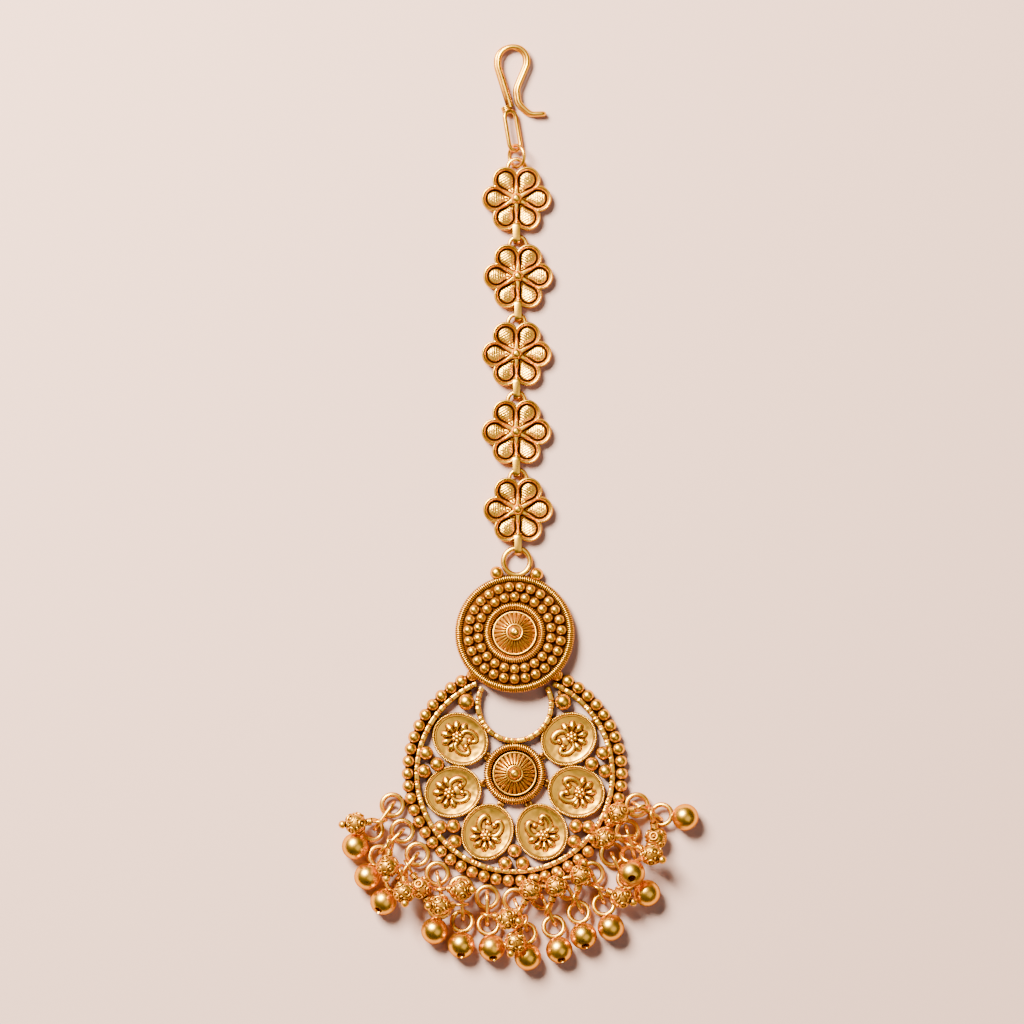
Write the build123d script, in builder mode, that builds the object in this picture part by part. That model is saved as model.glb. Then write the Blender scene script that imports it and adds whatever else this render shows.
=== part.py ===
"""Maang tikka: a hair hook, a chain of five flower links and a crescent pendant with hanging drops.

Millimetres. The ornament lies on its back on z = 0 with its face up (+Z) and its hook towards +Y.
The pieces are laid out about the centre of the crescent, and at the end everything is shifted so
that the origin is the middle of the whole ornament's underside.

Headings are plan angles in degrees, measured from straight down the ornament (-Y) towards its
right side (+X).
"""
from build123d import *

import os
from collections import namedtuple
from math import asin, cos, degrees, radians, sin

# ---------------------------------------------------------------- crescent frame
CRESCENT_HORN = 156.7          # heading at which the horns end, under the medallion
STRIP_RADIUS = 14.64           # middle of the hammered outer strip
STRIP_WIDTH = 0.84
STRIP_HEIGHT = 1.7
LEDGE_RADIUS = 15.85           # flat plate that carries the outer granules
LEDGE_WIDTH = 1.9
LEDGE_HEIGHT = 0.6
GRANULE_RADIUS = 0.86
GRANULE_ROW_RADIUS = 16.0
GRANULE_PITCH = 6.67           # degrees from one granule to the next
GRANULE_LEVEL = 1.05
GRANULES_A_SIDE = 24
INNER_STRIP_CENTRE = 10.43     # Y of the middle of the inner, horseshoe strip
INNER_STRIP_RADIUS = 5.5
INNER_STRIP_HORN = 117         # heading at which the horseshoe ends

# ---------------------------------------------------------------- soldered edge rings
EDGE_RING_PITCH = 12.6         # degrees from one ring to the next
EDGE_RINGS_A_SIDE = 6
EDGE_RING_ORBIT = 18.9
EDGE_RING_RADIUS = 1.575
EDGE_RING_WIRE = 0.375         # wire radius
EDGE_RING_LEVEL = 1.05
TAB_LENGTH = 1.5
TAB_HEIGHT = 0.85
TAB_WIDTH = 1.2

# ---------------------------------------------------------------- stamped discs and filling
DISC_ORBIT = 9.63
DISC_HEADINGS = (25.0, 73.7, 122.5)
DISC_RADIAL = 4.4              # half length along the radius
DISC_ACROSS = 3.95             # half width across it
DISC_BASE = 0.1
DISC_RIM_LEVEL = 1.2
DISC_RIM_WIDTH = 0.5
DISC_DISH_DEPTH = 0.45
MOTIF_HEIGHT = 0.35
MOTIF_HEART_X = 0.45           # middle of the fan, a little outward
MOTIF_BOSS_RADIUS = 0.75
MOTIF_PETAL_ORBIT = 1.75
MOTIF_PETAL_LENGTH = 1.2
MOTIF_PETAL_WIDTH = 0.6
MOTIF_SCROLL_X = -1.3
MOTIF_SCROLL_Y = 1.15
MOTIF_SCROLL_RADIUS = 0.85
MOTIF_SCROLL_WIDTH = 0.5
PETAL_FAN = (-75, -45, -15, 15, 45, 75)
FILLER_RADIUS = 1.08
FILLER_LEVEL = 1.1
# Plan places of the filling granules, right-hand side; the left mirrors them.
FILLERS_RIGHT = ((9.18, -7.87), (11.1, -8.0), (8.95, -10.15), (11.6, 1.45), (13.26, 3.07), (13.6, 0.37))
FILLERS_BOTTOM = ((0.0, -11.58), (-1.4, -13.45), (1.2, -13.45))
HORN_BALL_PLACE = (7.25, 10.75)
HORN_BALL_RADIUS = 1.25
JOINING_BALL_PLACE = (6.2, 14.9)   # ball soldered between the crescent's end and the medallion
JOINING_BALL_LEVEL = 1.6
JOINING_BALL_RADIUS = 0.7
# Solder joints on the back: heading and distance from the crescent's centre, both sides.
SOLDER_PLACES = (
    (25.0, 4.95), (73.7, 4.95), (122.5, 4.95), (49.4, 8.75), (98.1, 8.75), (25.0, 14.1), (73.7, 14.1),
    (122.5, 14.1), (150.0, 14.0),
)
SOLDER_RADIUS = 0.6
SOLDER_HEIGHT = 0.9

# ---------------------------------------------------------------- round bosses
COIL_MAJOR = 4.06              # coiled ring round a ribbed dome
COIL_MINOR = 0.62
COIL_LEVEL = 1.0
DOME_RADIUS = 3.25
DOME_HEIGHT = 1.35
DOME_FOOT = 0.75
BOSS_BASE_HEIGHT = 0.55
DOME_CROWN = 4.6               # radius of the dome's section
BOSS_BALL_RADIUS = 0.96

# ---------------------------------------------------------------- medallion
MEDALLION_CENTRE = 20.91       # Y
MEDALLION_TILT = 7.0           # degrees, lower edge raised on the horns
MEDALLION_PLATE_RADIUS = 8.33
MEDALLION_PLATE_HEIGHT = 0.8
MEDALLION_RIM_MINOR = 0.67
OUTER_GRANULES = 27
OUTER_GRANULE_ORBIT = 6.98
INNER_GRANULES = 22
INNER_GRANULE_ORBIT = 5.49
MEDALLION_GRANULE_RADIUS = 0.7
MEDALLION_GRANULE_LEVEL = 1.1
MEDALLION_LEVEL = 1.1          # height of the middle of the medallion's back
TOP_RING_CENTRE = (0.3, 31.8)
TOP_RING_MAJOR = 2.0
TOP_RING_WIRE = 0.41
TOP_RING_LEVEL = 1.0
SHOULDER_BALLS = ((-2.69, 30.1), (3.29, 29.9))
SHOULDER_BALL_RADIUS = 1.0

# ---------------------------------------------------------------- flower links
FLOWER_PLACES = ((0.27, 86.4), (0.5, 74.7), (0.29, 63.0), (0.25, 51.3), (0.5, 39.6))
LOBE_ORBIT = 3.25
LOBE_RADIUS = 2.0
FLOWER_CORE_RADIUS = 2.1
FLOWER_BACK = 0.2
FLOWER_FRONT = 1.7
SCOOP_FLOOR = 0.85
SCOOP_TIP_ORBIT = 1.3
SCOOP_TIP_RADIUS = 0.38
PETAL_RIM = 0.3
FLOOR_TIP_ORBIT = 1.6
FLOOR_TIP_RADIUS = 0.15
FLOOR_LOBE_RADIUS = 1.35
PANEL_HEIGHT = 0.3
PANEL_TIP_ORBIT = 1.7
PANEL_TIP_RADIUS = 0.2
PANEL_LOBE_RADIUS = 0.95
FLOWER_BALL_RADIUS = 0.72
LINK_EYE_OFFSET = 4.65         # from the flower's middle up to the middle of its ring
LINK_EYE_RADIUS = 1.3
LINK_EYE_WIRE = 0.33
LINK_EYE_LEVEL = 1.1
STRAP_WIDTH = 1.05
STRAP_THICKNESS = 0.28
STRAP_START = 3.4
STRAP_END = 6.85
STRAP_TOP = 1.88
STRAP_CORNER = 0.85

# ---------------------------------------------------------------- hook and its ring
HOOK_WIRE = 0.38
HOOK_COLLAR = (-1.1, 99.75)
HOOK_BACK_SHIFT = (-0.35, 0.0, -0.83)
HOOK_FRONT_LEVEL = 1.22
HOOK_ROUTE = ((0.59, 0.48), (-1.3, 6.6), (-1.3, 9.6), (3.15, 9.6), (3.05, 6.9),
              (1.5, 3.2), (1.75, 1.0), (3.5, -0.6), (5.07, -0.55))
HOOK_BENDS = (3.0, 2.15, 2.1, 2.1, 2.5, 2.2, 1.4)
HOOK_COLLAR_SHIFT = (0.1, 0.1, 0.0)
HOOK_COLLAR_RADIUS = 0.78
HOOK_COLLAR_LENGTH = 1.3
HOOK_EYE_LENGTH = 4.1          # between the centres of the eye's round ends
HOOK_EYE_RADIUS = 0.95
HOOK_EYE_WIRE = 0.33
HOOK_EYE_TOP = (0.45, -1.1)
HOOK_EYE_HEADING = 9.5
HOOK_EYE_ROLL = -28.0
HOOK_EYE_LEVEL = 1.4
HOOK_RING_CENTRE = (0.3, 92.8)
HOOK_RING_RADIUS = 1.6
HOOK_RING_WIRE = 0.27
HOOK_RING_LEVEL = 1.42
HOOK_RING_HEADING = 10.0
HOOK_RING_ROLL = 46.0

# ---------------------------------------------------------------- drops
LARGE_RADIUS = 2.0
LARGE_WALL = 0.3
LARGE_HOLE_RADIUS = 0.65
LARGE_HOLE_LIFT = 25           # the hole is this far round from straight opposite the ring
LARGE_RING_OFFSET = 3.6
LARGE_RING_RADIUS = 1.5
LARGE_RING_WIRE = 0.375
SMALL_RADIUS = 1.55
SMALL_BOSS_RADIUS = 0.62
SMALL_BOSS_ORBIT = 1.05
SMALL_TIP_OFFSET = 2.0
SMALL_TIP_RADIUS = 0.62
SMALL_NECK_RADIUS = 0.52
SMALL_NECK_END = 2.45
SMALL_EYE_OFFSET = 3.6
SMALL_EYE_RADIUS = 1.05
SMALL_EYE_WIRE = 0.22
# Bosses of the embossed bead: tilt from the axis, then the turns round it.
SMALL_BOSSES = ((60, (0, 90, 180, 270)), (125, (45, 135, 225, 315)))

# ---------------------------------------------------------------- how the drops hang
LINK_HALF_LENGTH = 1.2         # from the link's middle to the centre of a round end
LINK_BEND = 1.3
LINK_WIRE = 0.28
LINK_LEVEL = 1.58
SMALL_GRIP = 3.8              # from a small bead's middle to the link wire in its eye

# One row for each soldered ring: the heading of its oval link and how far the link's middle is
# from the ring's, then how far along the link the plain drop's ring crosses it and how high, the
# heading of that drop, the turn of its ring about its own axis, and the height of its middle.
Hang = namedtuple("Hang", "ring link reach grip level ball turn rest")
HANGS = (
    Hang(6, 60, 1.75, 0.8, 1.1, 84, 180, 2.0),
    Hang(5, 15, 1.65, 0.8, 1.6, 0, 0, 4.8),
    Hang(4, 25, 2.2, 0.8, 1.1, 52, 180, 2.0),
    Hang(3, 22, 2.2, 1.3, 1.1, 17, 180, 2.0),
    Hang(2, 30, 1.65, 0.9, 1.1, 11, 0, 2.0),
    Hang(1, 25, 2.1, 1.2, 1.1, 13, 0, 2.0),
    Hang(0, 22, 2.4, 1.4, 1.1, 6, 180, 2.0),
    Hang(-1, 0, 1.7, 0.9, 1.1, 8, 0, 2.0),
    Hang(-2, 4, 2.2, 1.3, 1.1, -2, 0, 2.0),
    Hang(-3, 10, 2.3, 1.4, 1.1, -12, 180, 2.0),
    Hang(-4, -40, 2.3, 1.4, 1.1, -32, 0, 2.0),
    Hang(-5, -46, 2.2, 1.4, 1.1, -31, 180, 2.0),
    Hang(-6, -36, 2.0, 1.3, 1.1, -46, 180, 2.0),
)

# One row for each embossed drop: its soldered ring, how far along the link's wire from the middle
# of its top the eye sits, then the drop's heading and its height.
Dangle = namedtuple("Dangle", "ring along bead rest")
DANGLES = (
    Dangle(6, -0.9, -76, 3.9),
    Dangle(6, 0.9, 8, 1.7),
    Dangle(5, -0.8, -86, 4.0),
    Dangle(5, 0.25, 62, 4.4),
    Dangle(3, 0.0, 67, 3.3),
    Dangle(2, 0.3, 166, 3.8),
    Dangle(1, 0.0, 161, 3.8),
    Dangle(0, -0.5, 153, 3.8),
    Dangle(0, 0.9, -20, 4.5),
    Dangle(-1, 0.9, 78, 5.0),
    Dangle(-2, 0.3, -88, 4.8),
    Dangle(-3, 0.0, 88, 4.9),
    Dangle(-4, -0.1, 30, 2.5),
    Dangle(-4, 0.9, 3, 4.9),
    Dangle(-5, 0.2, -6, 4.1),
    Dangle(-6, 0.9, -84, 3.5),
)


def ahead(heading):
    """Level unit vector that points along a heading."""
    return Vector(sin(radians(heading)), -cos(radians(heading)), 0)


def lying(origin, heading, rise, turn):
    """Plane whose X axis points along a heading, raised and then turned about itself."""
    level = ahead(heading)
    forward = level * cos(radians(rise)) + Vector(0, 0, sin(radians(rise)))
    upward = Vector(0, 0, cos(radians(rise))) - level * sin(radians(rise))
    upward = upward.rotate(Axis((0, 0, 0), forward), turn)
    return Plane(origin=origin, x_dir=forward, z_dir=upward)


def hung(grip, distance, heading, rest):
    """Where the middle of a drop lies, and the way from it to the point grip in its ring."""
    rise = degrees(asin((grip.Z - rest) / distance))
    way = lying(grip, heading + 180, rise, 0).x_dir
    return grip - way * distance, way


def ring_centre(ring):
    return ahead(ring * EDGE_RING_PITCH) * EDGE_RING_ORBIT + Vector(0, 0, EDGE_RING_LEVEL)


def link_plane(hang):
    """Plane of an oval link standing on its edge: X along it, Z up, its middle at the origin."""
    middle = ahead(hang.ring * EDGE_RING_PITCH) * EDGE_RING_ORBIT + ahead(hang.link) * hang.reach
    return lying(Vector(middle.X, middle.Y, LINK_LEVEL), hang.link, 0, 0)


def wire_place(oval, along):
    """Point and direction of the link's wire, followed from the middle of its top."""
    bent = max(0.0, abs(along) - LINK_HALF_LENGTH) / LINK_BEND
    reach = min(abs(along), LINK_HALF_LENGTH) + LINK_BEND * sin(bent)
    out = oval.x_dir if along > 0 else -oval.x_dir
    point = oval.origin + out * reach + oval.z_dir * LINK_BEND * cos(bent)
    return point, out * cos(bent) - oval.z_dir * sin(bent)


def large_plane(hang):
    oval = link_plane(hang)
    grip = oval.origin + oval.x_dir * hang.grip + Vector(0, 0, hang.level - LINK_LEVEL)
    middle, way = hung(grip, LARGE_RING_OFFSET + LARGE_RING_RADIUS, hang.ball, hang.rest)
    rise = degrees(asin(way.Z))
    return lying(middle, hang.ball + 180, rise, hang.turn)


def small_plane(dangle):
    """The eye of a small drop faces along the wire that it hangs on."""
    hang = next(row for row in HANGS if row.ring == dangle.ring)
    grip, wire = wire_place(link_plane(hang), dangle.along)
    middle, way = hung(grip, SMALL_GRIP, dangle.bead, dangle.rest)
    return Plane(origin=middle, x_dir=way, z_dir=wire - way * wire.dot(way))


# ---------------------------------------------------------------- hook
def hook_strand(shift):
    """One of the two wires of the hook, from the collar up, over the top and out to the tip."""
    start = Vector(*HOOK_COLLAR, HOOK_FRONT_LEVEL) + shift
    with BuildPart() as strand:
        with BuildLine(Plane(origin=start)) as route:
            FilletPolyline(*HOOK_ROUTE, radius=HOOK_BENDS)
        wire = route.wires()[0]
        with BuildSketch(Plane(origin=wire @ 0, z_dir=wire % 0)):
            Circle(HOOK_WIRE)
        sweep(path=wire)
    return strand.part


def hook_tip(end, shift):
    """The fold at the tip, where the front wire turns round into the back one."""
    way = (Vector(*HOOK_ROUTE[-1]) - Vector(*HOOK_ROUTE[-2])).normalized()
    across = shift - way * shift.dot(way)
    with BuildPart() as fold:
        with BuildLine() as route:
            ThreePointArc(end, end + across / 2 + way * across.length / 2, end + across)
            Line(end + across, end + shift)
        with BuildSketch(Plane(origin=end, z_dir=way)):
            Circle(HOOK_WIRE)
        sweep(path=route.wires()[0])
    return fold.part


def oval_ring(half_length, bend, wire):
    """Oval ring of round wire in the XZ plane, long along X."""
    with BuildPart() as ring:
        with BuildLine(Plane.XZ):
            Line((-half_length, bend), (half_length, bend))
            ThreePointArc((half_length, bend), (half_length + bend, 0), (half_length, -bend))
            Line((half_length, -bend), (-half_length, -bend))
            ThreePointArc((-half_length, -bend), (-half_length - bend, 0), (-half_length, bend))
        with BuildSketch(Plane(origin=(0, 0, bend), z_dir=(1, 0, 0))):
            Circle(wire)
        sweep()
    return ring.part


def build_hook():
    front = Vector(*HOOK_COLLAR, HOOK_FRONT_LEVEL)
    middle = front + Vector(*HOOK_BACK_SHIFT) / 2
    eye_top = Vector(*HOOK_COLLAR, 0) + Vector(*HOOK_EYE_TOP, HOOK_EYE_LEVEL)
    eye_middle = eye_top + ahead(HOOK_EYE_HEADING) * (HOOK_EYE_LENGTH / 2)
    eye_plane = lying(eye_middle, HOOK_EYE_HEADING, 0, 90 + HOOK_EYE_ROLL)
    eye = oval_ring(HOOK_EYE_LENGTH / 2, HOOK_EYE_RADIUS, HOOK_EYE_WIRE)
    with BuildPart() as made:
        add(hook_strand(Vector(0, 0, 0)))
        add(hook_strand(Vector(*HOOK_BACK_SHIFT)))
        add(hook_tip(front + Vector(*HOOK_ROUTE[-1], 0), Vector(*HOOK_BACK_SHIFT)))
        with Locations(Plane(origin=middle + Vector(*HOOK_COLLAR_SHIFT), z_dir=(-0.35, 1, 0))):
            Cylinder(HOOK_COLLAR_RADIUS, HOOK_COLLAR_LENGTH)
        add(eye_plane.location * eye)
    return made.part


def build_hook_ring():
    centre = Vector(*HOOK_RING_CENTRE, HOOK_RING_LEVEL)
    with BuildPart() as made:
        with Locations(lying(centre, HOOK_RING_HEADING, 0, HOOK_RING_ROLL)):
            Torus(HOOK_RING_RADIUS, HOOK_RING_WIRE)
    return made.part


# ---------------------------------------------------------------- flower links
def teardrop(level, petal, tip, root_radius, lobe_radius):
    """Sketch of a petal outline: a round lobe drawn in to a small tip."""
    with BuildSketch(Plane(origin=(0, 0, level)).rotated((0, 0, 60 * petal))) as outline:
        with Locations((tip, 0)):
            Circle(root_radius)
        with Locations((LOBE_ORBIT, 0)):
            Circle(lobe_radius)
        make_hull()
    return outline.sketch


def build_flower():
    """Cast six-petal flower with its ring at the top (+Y) and its strap at the bottom."""
    with BuildPart() as made:
        with BuildSketch(Plane.XY.offset(FLOWER_BACK)):
            Circle(FLOWER_CORE_RADIUS)
            with PolarLocations(LOBE_ORBIT, 6):
                Circle(LOBE_RADIUS)
        extrude(amount=FLOWER_FRONT - FLOWER_BACK)
        with Locations((0, LINK_EYE_OFFSET, LINK_EYE_LEVEL)):
            Torus(LINK_EYE_RADIUS, LINK_EYE_WIRE)
        for petal in range(6):
            mouth = teardrop(FLOWER_FRONT, petal, SCOOP_TIP_ORBIT, SCOOP_TIP_RADIUS, LOBE_RADIUS - PETAL_RIM)
            floor = teardrop(SCOOP_FLOOR, petal, FLOOR_TIP_ORBIT, FLOOR_TIP_RADIUS, FLOOR_LOBE_RADIUS)
            loft((mouth, floor), mode=Mode.SUBTRACT)
            panel = teardrop(SCOOP_FLOOR, petal, PANEL_TIP_ORBIT, PANEL_TIP_RADIUS, PANEL_LOBE_RADIUS)
            extrude(panel, amount=PANEL_HEIGHT)
        with Locations((0, 0, FLOWER_FRONT)):
            Sphere(FLOWER_BALL_RADIUS)
        strap_side = (-STRAP_WIDTH / 2, -(STRAP_START + STRAP_END) / 2, STRAP_TOP / 2)
        with BuildSketch(Plane(origin=strap_side, x_dir=(0, 1, 0), z_dir=(1, 0, 0))):
            RectangleRounded(STRAP_END - STRAP_START, STRAP_TOP, STRAP_CORNER)
            offset(amount=-STRAP_THICKNESS, mode=Mode.SUBTRACT)
        extrude(amount=STRAP_WIDTH)
    return made.part


# ---------------------------------------------------------------- domed boss in a coiled ring
def boss_profile(base_radius, base_height):
    """Half section in XZ of a round plate with a ribbed dome in its middle."""
    crown = DOME_FOOT + DOME_HEIGHT
    with BuildSketch(Plane.XZ) as half:
        with BuildLine():
            Polyline((0, crown), (0, 0), (base_radius, 0), (base_radius, base_height),
                     (DOME_RADIUS, base_height), (DOME_RADIUS, DOME_FOOT))
            RadiusArc((DOME_RADIUS, DOME_FOOT), (0, crown), -DOME_CROWN)
        make_face()
    return half.sketch


def build_boss(base_radius, base_height):
    """Plate, dome, coiled ring and centre ball, with the plate's back on z = 0."""
    with BuildPart() as made:
        revolve(boss_profile(base_radius, base_height), axis=Axis.Z)
        with Locations((0, 0, COIL_LEVEL)):
            Torus(COIL_MAJOR, COIL_MINOR)
        with Locations((0, 0, DOME_FOOT + DOME_HEIGHT)):
            Sphere(BOSS_BALL_RADIUS)
    return made.part


def build_medallion():
    """Round head piece with a coiled rim and two rings of granules round its boss."""
    with BuildPart() as made:
        add(build_boss(MEDALLION_PLATE_RADIUS, MEDALLION_PLATE_HEIGHT))
        with Locations((0, 0, MEDALLION_RIM_MINOR)):
            Torus(MEDALLION_PLATE_RADIUS, MEDALLION_RIM_MINOR)
        with Locations((0, 0, MEDALLION_GRANULE_LEVEL)):
            with PolarLocations(OUTER_GRANULE_ORBIT, OUTER_GRANULES):
                Sphere(MEDALLION_GRANULE_RADIUS)
            with PolarLocations(INNER_GRANULE_ORBIT, INNER_GRANULES):
                Sphere(MEDALLION_GRANULE_RADIUS)
    return made.part


# ---------------------------------------------------------------- crescent
def ball_seats(places, level, heading=0.0):
    """Planes for soldered balls, turned so that each ball's seam runs over its free upper side."""
    return [Plane(origin=(*place, level), x_dir=(0, 0, 1), z_dir=ahead(heading)) for place in places]


def mirrored(places):
    """Plan places together with their mirror images across the ornament's middle line."""
    return [*places, *((-x, y) for x, y in places)]


def crescent_strip(radius, horn, width, height, centre=0.0):
    """Flat wire bent to an arc that is open towards the top, lying on z = 0."""
    with BuildPart() as made:
        with BuildSketch():
            with BuildLine():
                CenterArc((0, centre), radius, -90 - horn, 2 * horn)
            trace(line_width=width)
        extrude(amount=height)
    return made.part


def build_disc():
    """Stamped oval disc, its long way along X and its outer end at +X, back on z = 0."""
    with BuildPart() as made:
        with BuildSketch():
            Ellipse(DISC_RADIAL, DISC_ACROSS)
        extrude(amount=DISC_RIM_LEVEL)
        with BuildSketch(Plane.XY.offset(DISC_RIM_LEVEL)):
            Ellipse(DISC_RADIAL - DISC_RIM_WIDTH, DISC_ACROSS - DISC_RIM_WIDTH)
        extrude(amount=-DISC_DISH_DEPTH, mode=Mode.SUBTRACT)
        with BuildSketch(Plane.XY.offset(DISC_RIM_LEVEL - DISC_DISH_DEPTH)):
            with Locations((MOTIF_HEART_X, 0)):
                Circle(MOTIF_BOSS_RADIUS)
            for angle in PETAL_FAN:
                with Locations(Location((MOTIF_HEART_X, 0), angle)):
                    with Locations((MOTIF_PETAL_ORBIT, 0)):
                        SlotCenterToCenter(MOTIF_PETAL_LENGTH, MOTIF_PETAL_WIDTH)
            for side in (1, -1):
                scroll = CenterArc((MOTIF_SCROLL_X, side * MOTIF_SCROLL_Y), MOTIF_SCROLL_RADIUS,
                                   -side * 60, side * 270, mode=Mode.PRIVATE)
                SlotArc(scroll, MOTIF_SCROLL_WIDTH)
        extrude(amount=MOTIF_HEIGHT)
    return made.part


def build_pendant():
    """Everything that is soldered together: medallion, crescent, discs, granules and edge rings."""
    disc = build_disc()
    medallion_plane = Plane(origin=(0, MEDALLION_CENTRE, MEDALLION_LEVEL)).rotated((-MEDALLION_TILT, 0, 0))
    with BuildPart() as made:
        add(crescent_strip(LEDGE_RADIUS, CRESCENT_HORN, LEDGE_WIDTH, LEDGE_HEIGHT))
        add(crescent_strip(STRIP_RADIUS, CRESCENT_HORN, STRIP_WIDTH, STRIP_HEIGHT))
        add(crescent_strip(INNER_STRIP_RADIUS, INNER_STRIP_HORN, STRIP_WIDTH, STRIP_HEIGHT, INNER_STRIP_CENTRE))
        add(build_boss(COIL_MAJOR, BOSS_BASE_HEIGHT))
        for heading in DISC_HEADINGS:
            for side in (1, -1):
                place = Plane(origin=ahead(side * heading) * DISC_ORBIT + Vector(0, 0, DISC_BASE),
                              x_dir=ahead(side * heading), z_dir=(0, 0, 1))
                add(place.location * disc)
        add(medallion_plane.location * build_medallion())
        row = [side * GRANULE_PITCH * (k + 0.5) for k in range(GRANULES_A_SIDE) for side in (1, -1)]
        for heading in row:
            seat = Plane(origin=ahead(heading) * GRANULE_ROW_RADIUS + Vector(0, 0, GRANULE_LEVEL),
                         x_dir=(0, 0, 1), z_dir=ahead(heading + 90))
            with Locations(seat):
                Sphere(GRANULE_RADIUS)
        with Locations(*ball_seats((*mirrored(FILLERS_RIGHT), *FILLERS_BOTTOM), FILLER_LEVEL)):
            Sphere(FILLER_RADIUS)
        dabs = [ahead(side * heading) * orbit for heading, orbit in SOLDER_PLACES for side in (1, -1)]
        with Locations(*dabs):
            Cylinder(SOLDER_RADIUS, SOLDER_HEIGHT, align=(Align.CENTER, Align.CENTER, Align.MIN))
        with Locations(*ball_seats(mirrored([HORN_BALL_PLACE]), HORN_BALL_RADIUS)):
            Sphere(HORN_BALL_RADIUS)
        with Locations(*ball_seats(mirrored([JOINING_BALL_PLACE]), JOINING_BALL_LEVEL)):
            Sphere(JOINING_BALL_RADIUS)
        with Locations((*TOP_RING_CENTRE, TOP_RING_LEVEL)):
            Torus(TOP_RING_MAJOR, TOP_RING_WIRE)
        with Locations(*ball_seats(SHOULDER_BALLS, SHOULDER_BALL_RADIUS)):
            Sphere(SHOULDER_BALL_RADIUS)
        rings = range(-EDGE_RINGS_A_SIDE, EDGE_RINGS_A_SIDE + 1)
        with Locations(*(ring_centre(ring) for ring in rings)):
            Torus(EDGE_RING_RADIUS, EDGE_RING_WIRE)
        tab_reach = EDGE_RING_ORBIT - EDGE_RING_RADIUS
        with Locations(*(Plane(origin=ahead(ring * EDGE_RING_PITCH) * tab_reach,
                               x_dir=ahead(ring * EDGE_RING_PITCH), z_dir=(0, 0, 1)) for ring in rings)):
            Box(TAB_LENGTH, TAB_WIDTH, TAB_HEIGHT, align=(Align.MAX, Align.CENTER, Align.MIN))
    return made.part


# ---------------------------------------------------------------- hanging pieces
def build_large_drop():
    """Hollow plain ball in its own frame: soldered ring towards +X, drilled hole near -X."""
    with BuildPart() as made:
        Sphere(LARGE_RADIUS)
        with Locations((LARGE_RING_OFFSET, 0, 0)):
            Torus(LARGE_RING_RADIUS, LARGE_RING_WIRE)
        Sphere(LARGE_RADIUS - LARGE_WALL, mode=Mode.SUBTRACT)
        outward = Vector(-cos(radians(LARGE_HOLE_LIFT)), 0, sin(radians(LARGE_HOLE_LIFT)))
        with Locations(Plane(origin=outward * LARGE_RADIUS, z_dir=outward)):
            Cylinder(LARGE_HOLE_RADIUS, 4 * LARGE_WALL, mode=Mode.SUBTRACT)
    return made.part


def build_small_drop():
    """Embossed bead in its own frame: wrapped neck and eye towards +X, tip ball at -X."""
    boss_places = [Vector(SMALL_BOSS_ORBIT, 0, 0).rotate(Axis.Y, lift).rotate(Axis.X, turn)
                   for lift, turns in SMALL_BOSSES for turn in turns]
    with BuildPart() as made:
        Sphere(SMALL_RADIUS)
        with Locations(*boss_places):
            Sphere(SMALL_BOSS_RADIUS)
        with Locations((-SMALL_TIP_OFFSET, 0, 0)):
            Sphere(SMALL_TIP_RADIUS)
        with Locations((SMALL_NECK_END, 0, 0)):
            Cylinder(SMALL_NECK_RADIUS, SMALL_NECK_END, rotation=(0, 90, 0),
                     align=(Align.CENTER, Align.CENTER, Align.MAX))
        with Locations((SMALL_EYE_OFFSET, 0, 0)):
            Torus(SMALL_EYE_RADIUS, SMALL_EYE_WIRE)
    return made.part


# ---------------------------------------------------------------- the whole ornament
def placed(part, plane):
    """A copy of a piece that was modelled about the origin, set down on a plane."""
    return plane.location * part


def build_links():
    """The thirteen loose oval links, one through each soldered ring."""
    link = oval_ring(LINK_HALF_LENGTH, LINK_BEND, LINK_WIRE)
    with BuildPart() as made:
        for hang in HANGS:
            add(placed(link, link_plane(hang)))
    return made.part


pieces = {"hook": build_hook(), "hook_ring": build_hook_ring(), "pendant": build_pendant()}
flower = build_flower()
for number, (x, y) in enumerate(FLOWER_PLACES, start=1):
    pieces[f"flower_link_{number}"] = placed(flower, Plane(origin=(x, y, 0)))
pieces["drop_links"] = build_links()
large_drop = build_large_drop()
for number, hang in enumerate(HANGS, start=1):
    pieces[f"large_drop_{number:02d}"] = placed(large_drop, large_plane(hang))
small_drop = build_small_drop()
for number, dangle in enumerate(DANGLES, start=1):
    pieces[f"small_drop_{number:02d}"] = placed(small_drop, small_plane(dangle))

# The origin goes to the middle of the underside of the whole ornament.
boxes = [piece.bounding_box() for piece in pieces.values()]
middle_x = (min(box.min.X for box in boxes) + max(box.max.X for box in boxes)) / 2
middle_y = (min(box.min.Y for box in boxes) + max(box.max.Y for box in boxes)) / 2
lowest = min(box.min.Z for box in boxes)
os.makedirs("parts", exist_ok=True)
for name, piece in pieces.items():
    finished = piece.moved(Location((-middle_x, -middle_y, -lowest)))
    finished.label = name
    export_step(finished, f"parts/{name}.step")
print("pieces", len(pieces), "shift", round(middle_x, 3), round(middle_y, 3), round(lowest, 3))
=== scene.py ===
# %% [markdown]
# # Maang tikka
# A hair ornament of antique gold, made to lie along the parting and hang over the forehead. From the
# hair down it has a wire hook, five cast flowers, and a crescent pendant edged with little drops.
# Most parts are formed in millimetres about their own middle and then set in their places on the
# pendant's plan, and everything turns to metres only at the very end.

# %% Frame
from collections import namedtuple
from math import asin, cos, degrees, exp, floor, hypot, pi, radians, sin, sqrt, tan

import bmesh
import bpy
from mathutils import Matrix, Vector, noise
from mathutils.bvhtree import BVHTree


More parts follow.
